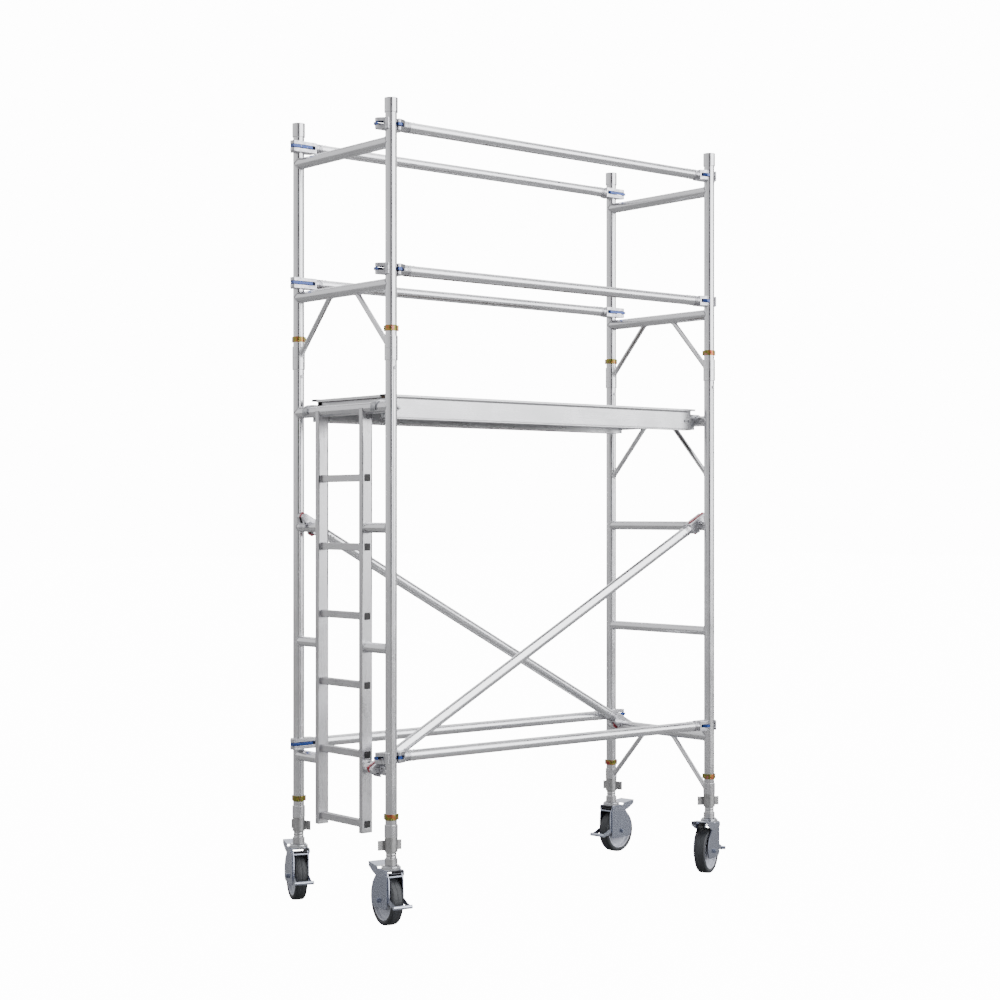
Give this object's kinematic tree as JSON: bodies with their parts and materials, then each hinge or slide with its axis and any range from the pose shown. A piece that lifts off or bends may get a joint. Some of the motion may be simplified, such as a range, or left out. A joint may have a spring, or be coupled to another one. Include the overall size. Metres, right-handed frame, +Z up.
{
  "type": "mobile scaffold tower section",
  "caption": "Aluminium mobile scaffold bay on braked castors, with ladder frame, plain frame, guard frames, clawed rails and braces, and a hooked platform with trapdoor.",
  "frame": {"origin": "on the floor, under the middle of the overall footprint, castors included", "axes": "+Z up, +X from the ladder frame to the plain frame along the platform, -Y towards the front"},
  "size_m": [2.1858, 0.9747, 3.53],
  "materials": {
    "frame_aluminium": "satin",
    "ladder_aluminium": "satin",
    "black_plastic": "moulded",
    "rail_aluminium": "satin",
    "cast_aluminium": "cast",
    "rivet_steel": "domed",
    "chromated_steel": "yellow chromate",
    "deck_aluminium": "extruded",
    "deck_plywood": "film faced",
    "hook_steel": "cast",
    "leg_aluminium": "machined",
    "nut_aluminium": "cast",
    "zinc_fork": "zinc plated",
    "wheel_core": "moulded",
    "tyre": "rubber",
    "zinc_pedal": "zinc plated",
    "zinc_bar": "zinc plated",
    "red_trigger": "gloss",
    "blue_trigger": "gloss"
  },
  "bodies": {
    "tower": {"ladder_frame": "frame_aluminium", "ladder_stiles": "ladder_aluminium", "ladder_rungs": "ladder_aluminium", "rung_plugs": "black_plastic", "plain_frame": "frame_aluminium", "guard_frames": "frame_aluminium", "frame_spigots": "frame_aluminium", "horizontal_rails": "rail_aluminium", "diagonal_braces": "rail_aluminium", "claws": "cast_aluminium", "claw_rivets": "rivet_steel", "interlock_clips": "chromated_steel"},
    "platform": {"deck_beams": "deck_aluminium", "deck_panel": "deck_plywood", "deck_hooks": "hook_steel"},
    "trapdoor": {"trapdoor": "deck_plywood"},
    "leg_fl": {"leg_fl": "leg_aluminium"},
    "nut_fl": {"adjusting_nut_fl": "nut_aluminium"},
    "castor_fl": {"castor_fork_fl": "zinc_fork"},
    "wheel_fl": {"wheel_core_fl": "wheel_core", "tyre_fl": "tyre"},
    "pedal_fl": {"brake_pedal_fl": "zinc_pedal"},
    "release_fl": {"release_bar_fl": "zinc_bar"},
    "leg_bl": {"leg_bl": "leg_aluminium"},
    "nut_bl": {"adjusting_nut_bl": "nut_aluminium"},
    "castor_bl": {"castor_fork_bl": "zinc_fork"},
    "wheel_bl": {"wheel_core_bl": "wheel_core", "tyre_bl": "tyre"},
    "pedal_bl": {"brake_pedal_bl": "zinc_pedal"},
    "release_bl": {"release_bar_bl": "zinc_bar"},
    "leg_fr": {"leg_fr": "leg_aluminium"},
    "nut_fr": {"adjusting_nut_fr": "nut_aluminium"},
    "castor_fr": {"castor_fork_fr": "zinc_fork"},
    "wheel_fr": {"wheel_core_fr": "wheel_core", "tyre_fr": "tyre"},
    "pedal_fr": {"brake_pedal_fr": "zinc_pedal"},
    "release_fr": {"release_bar_fr": "zinc_bar"},
    "leg_br": {"leg_br": "leg_aluminium"},
    "nut_br": {"adjusting_nut_br": "nut_aluminium"},
    "castor_br": {"castor_fork_br": "zinc_fork"},
    "wheel_br": {"wheel_core_br": "wheel_core", "tyre_br": "tyre"},
    "pedal_br": {"brake_pedal_br": "zinc_pedal"},
    "release_br": {"release_bar_br": "zinc_bar"},
    "base_trigger_fl": {"base_trigger_fl": "blue_trigger"},
    "base_trigger_bl": {"base_trigger_bl": "blue_trigger"},
    "base_trigger_fr": {"base_trigger_fr": "blue_trigger"},
    "base_trigger_br": {"base_trigger_br": "blue_trigger"},
    "mid_trigger_fl": {"mid_trigger_fl": "blue_trigger"},
    "mid_trigger_bl": {"mid_trigger_bl": "blue_trigger"},
    "mid_trigger_fr": {"mid_trigger_fr": "blue_trigger"},
    "mid_trigger_br": {"mid_trigger_br": "blue_trigger"},
    "top_trigger_fl": {"top_trigger_fl": "blue_trigger"},
    "top_trigger_bl": {"top_trigger_bl": "blue_trigger"},
    "top_trigger_fr": {"top_trigger_fr": "blue_trigger"},
    "top_trigger_br": {"top_trigger_br": "blue_trigger"},
    "brace_trigger_fl": {"brace_trigger_fl": "red_trigger"},
    "brace_trigger_bl": {"brace_trigger_bl": "red_trigger"},
    "brace_trigger_fr": {"brace_trigger_fr": "red_trigger"},
    "brace_trigger_br": {"brace_trigger_br": "red_trigger"}
  },
  "joints": [
    {"name": "platform_lift", "type": "slide", "parent": "tower", "child": "platform", "axis": [0, 0, 1], "range_m": [0, 0.15]},
    {"name": "trapdoor_hinge", "type": "hinge", "parent": "platform", "child": "trapdoor", "pos_m": [-0.706, 0.2155, 2.2784], "axis": [-1, 0, 0], "range_deg": [0, 90]},
    {"name": "leg_fl_slide", "type": "slide", "parent": "tower", "child": "leg_fl", "axis": [0, 0, -1], "range_m": [0, 0.15]},
    {"name": "nut_fl_turn", "type": "hinge", "parent": "tower", "child": "nut_fl", "pos_m": [-1.014, -0.367, 0.383], "axis": [0, 0, 1], "range_deg": [0, 4500]},
    {"name": "castor_fl_swivel", "type": "hinge", "parent": "leg_fl", "child": "castor_fl", "pos_m": [-1.014, -0.367, 0.246], "axis": [0, 0, 1], "continuous": true},
    {"name": "wheel_fl_spin", "type": "hinge", "parent": "castor_fl", "child": "wheel_fl", "pos_m": [-1.00637, -0.32773, 0.11], "axis": [-0.9816, 0.1908, 0], "continuous": true},
    {"name": "pedal_fl_hinge", "type": "hinge", "parent": "castor_fl", "child": "pedal_fl", "pos_m": [-1.01972, -0.39645, 0.23], "axis": [-0.9816, 0.1908, 0], "range_deg": [0, 8]},
    {"name": "release_fl_hinge", "type": "hinge", "parent": "castor_fl", "child": "release_fl", "pos_m": [-1.01972, -0.39645, 0.23], "axis": [-0.9816, 0.1908, 0], "range_deg": [0, 8]},
    {"name": "leg_bl_slide", "type": "slide", "parent": "tower", "child": "leg_bl", "axis": [0, 0, -1], "range_m": [0, 0.15]},
    {"name": "nut_bl_turn", "type": "hinge", "parent": "tower", "child": "nut_bl", "pos_m": [-1.014, 0.333, 0.383], "axis": [0, 0, 1], "range_deg": [0, 4500]},
    {"name": "castor_bl_swivel", "type": "hinge", "parent": "leg_bl", "child": "castor_bl", "pos_m": [-1.014, 0.333, 0.246], "axis": [0, 0, 1], "continuous": true},
    {"name": "wheel_bl_spin", "type": "hinge", "parent": "castor_bl", "child": "wheel_bl", "pos_m": [-0.99967, 0.37034, 0.11], "axis": [-0.9336, 0.3584, 0], "continuous": true},
    {"name": "pedal_bl_hinge", "type": "hinge", "parent": "castor_bl", "child": "pedal_bl", "pos_m": [-1.02475, 0.30499, 0.23], "axis": [-0.9336, 0.3584, 0], "range_deg": [0, 8]},
    {"name": "release_bl_hinge", "type": "hinge", "parent": "castor_bl", "child": "release_bl", "pos_m": [-1.02475, 0.30499, 0.23], "axis": [-0.9336, 0.3584, 0], "range_deg": [0, 8]},
    {"name": "leg_fr_slide", "type": "slide", "parent": "tower", "child": "leg_fr", "axis": [0, 0, -1], "range_m": [0, 0.15]},
    {"name": "nut_fr_turn", "type": "hinge", "parent": "tower", "child": "nut_fr", "pos_m": [0.936, -0.367, 0.383], "axis": [0, 0, 1], "range_deg": [0, 4500]},
    {"name": "castor_fr_swivel", "type": "hinge", "parent": "leg_fr", "child": "castor_fr", "pos_m": [0.936, -0.367, 0.246], "axis": [0, 0, 1], "continuous": true},
    {"name": "wheel_fr_spin", "type": "hinge", "parent": "castor_fr", "child": "wheel_fr", "pos_m": [0.89946, -0.38327, 0.11], "axis": [0.4067, -0.9135, 0], "continuous": true},
    {"name": "pedal_fr_hinge", "type": "hinge", "parent": "castor_fr", "child": "pedal_fr", "pos_m": [0.96341, -0.3548, 0.23], "axis": [0.4067, -0.9135, 0], "range_deg": [0, 8]},
    {"name": "release_fr_hinge", "type": "hinge", "parent": "castor_fr", "child": "release_fr", "pos_m": [0.96341, -0.3548, 0.23], "axis": [0.4067, -0.9135, 0], "range_deg": [0, 8]},
    {"name": "leg_br_slide", "type": "slide", "parent": "tower", "child": "leg_br", "axis": [0, 0, -1], "range_m": [0, 0.15]},
    {"name": "nut_br_turn", "type": "hinge", "parent": "tower", "child": "nut_br", "pos_m": [0.936, 0.333, 0.383], "axis": [0, 0, 1], "range_deg": [0, 4500]},
    {"name": "castor_br_swivel", "type": "hinge", "parent": "leg_br", "child": "castor_br", "pos_m": [0.936, 0.333, 0.246], "axis": [0, 0, 1], "continuous": true},
    {"name": "wheel_br_spin", "type": "hinge", "parent": "castor_br", "child": "wheel_br", "pos_m": [0.97561, 0.33857, 0.11], "axis": [-0.1392, 0.9903, 0], "continuous": true},
    {"name": "pedal_br_hinge", "type": "hinge", "parent": "castor_br", "child": "pedal_br", "pos_m": [0.90629, 0.32882, 0.23], "axis": [-0.1392, 0.9903, 0], "range_deg": [0, 8]},
    {"name": "release_br_hinge", "type": "hinge", "parent": "castor_br", "child": "release_br", "pos_m": [0.90629, 0.32882, 0.23], "axis": [-0.1392, 0.9903, 0], "range_deg": [0, 8]},
    {"name": "base_trigger_fl_press", "type": "hinge", "parent": "tower", "child": "base_trigger_fl", "pos_m": [-0.969, -0.337, 0.719], "axis": [0, 0, 1], "range_deg": [0, 8], "stiffness_Nm_per_rad": 0.6, "springref_deg": -8.59},
    {"name": "base_trigger_bl_press", "type": "hinge", "parent": "tower", "child": "base_trigger_bl", "pos_m": [-0.969, 0.303, 0.719], "axis": [0, 0, -1], "range_deg": [0, 8], "stiffness_Nm_per_rad": 0.6, "springref_deg": -8.59},
    {"name": "base_trigger_fr_press", "type": "hinge", "parent": "tower", "child": "base_trigger_fr", "pos_m": [0.891, -0.337, 0.719], "axis": [0, 0, -1], "range_deg": [0, 8], "stiffness_Nm_per_rad": 0.6, "springref_deg": -8.59},
    {"name": "base_trigger_br_press", "type": "hinge", "parent": "tower", "child": "base_trigger_br", "pos_m": [0.891, 0.303, 0.719], "axis": [0, 0, 1], "range_deg": [0, 8], "stiffness_Nm_per_rad": 0.6, "springref_deg": -8.59},
    {"name": "mid_trigger_fl_press", "type": "hinge", "parent": "tower", "child": "mid_trigger_fl", "pos_m": [-0.969, -0.337, 2.803], "axis": [0, 0, 1], "range_deg": [0, 8], "stiffness_Nm_per_rad": 0.6, "springref_deg": -8.59},
    {"name": "mid_trigger_bl_press", "type": "hinge", "parent": "tower", "child": "mid_trigger_bl", "pos_m": [-0.969, 0.303, 2.803], "axis": [0, 0, -1], "range_deg": [0, 8], "stiffness_Nm_per_rad": 0.6, "springref_deg": -8.59},
    {"name": "mid_trigger_fr_press", "type": "hinge", "parent": "tower", "child": "mid_trigger_fr", "pos_m": [0.891, -0.337, 2.803], "axis": [0, 0, -1], "range_deg": [0, 8], "stiffness_Nm_per_rad": 0.6, "springref_deg": -8.59},
    {"name": "mid_trigger_br_press", "type": "hinge", "parent": "tower", "child": "mid_trigger_br", "pos_m": [0.891, 0.303, 2.803], "axis": [0, 0, 1], "range_deg": [0, 8], "stiffness_Nm_per_rad": 0.6, "springref_deg": -8.59},
    {"name": "top_trigger_fl_press", "type": "hinge", "parent": "tower", "child": "top_trigger_fl", "pos_m": [-0.969, -0.337, 3.42], "axis": [0, 0, 1], "range_deg": [0, 8], "stiffness_Nm_per_rad": 0.6, "springref_deg": -8.59},
    {"name": "top_trigger_bl_press", "type": "hinge", "parent": "tower", "child": "top_trigger_bl", "pos_m": [-0.969, 0.303, 3.42], "axis": [0, 0, -1], "range_deg": [0, 8], "stiffness_Nm_per_rad": 0.6, "springref_deg": -8.59},
    {"name": "top_trigger_fr_press", "type": "hinge", "parent": "tower", "child": "top_trigger_fr", "pos_m": [0.891, -0.337, 3.42], "axis": [0, 0, -1], "range_deg": [0, 8], "stiffness_Nm_per_rad": 0.6, "springref_deg": -8.59},
    {"name": "top_trigger_br_press", "type": "hinge", "parent": "tower", "child": "top_trigger_br", "pos_m": [0.891, 0.303, 3.42], "axis": [0, 0, 1], "range_deg": [0, 8], "stiffness_Nm_per_rad": 0.6, "springref_deg": -8.59},
    {"name": "brace_trigger_fl_press", "type": "hinge", "parent": "tower", "child": "brace_trigger_fl", "pos_m": [-0.9883, -0.294, 0.71259], "axis": [0, -1, 0], "range_deg": [0, 8], "stiffness_Nm_per_rad": 0.6, "springref_deg": -8.59},
    {"name": "brace_trigger_bl_press", "type": "hinge", "parent": "tower", "child": "brace_trigger_bl", "pos_m": [-0.96019, 0.26, 1.70442], "axis": [0, -1, 0], "range_deg": [0, 8], "stiffness_Nm_per_rad": 0.6, "springref_deg": -8.59},
    {"name": "brace_trigger_fr_press", "type": "hinge", "parent": "tower", "child": "brace_trigger_fr", "pos_m": [0.88219, -0.294, 1.70442], "axis": [0, 1, 0], "range_deg": [0, 8], "stiffness_Nm_per_rad": 0.6, "springref_deg": -8.59},
    {"name": "brace_trigger_br_press", "type": "hinge", "parent": "tower", "child": "brace_trigger_br", "pos_m": [0.9103, 0.26, 0.71259], "axis": [0, 1, 0], "range_deg": [0, 8], "stiffness_Nm_per_rad": 0.6, "springref_deg": -8.59}
  ],
  "couplings": [
    {"joint": "nut_fl_turn", "follows": "leg_fl_slide", "rad_per_m": 523.6},
    {"joint": "release_fl_hinge", "follows": "pedal_fl_hinge", "ratio": 1},
    {"joint": "nut_bl_turn", "follows": "leg_bl_slide", "rad_per_m": 523.6},
    {"joint": "release_bl_hinge", "follows": "pedal_bl_hinge", "ratio": 1},
    {"joint": "nut_fr_turn", "follows": "leg_fr_slide", "rad_per_m": 523.6},
    {"joint": "release_fr_hinge", "follows": "pedal_fr_hinge", "ratio": 1},
    {"joint": "nut_br_turn", "follows": "leg_br_slide", "rad_per_m": 523.6},
    {"joint": "release_br_hinge", "follows": "pedal_br_hinge", "ratio": 1}
  ]
}
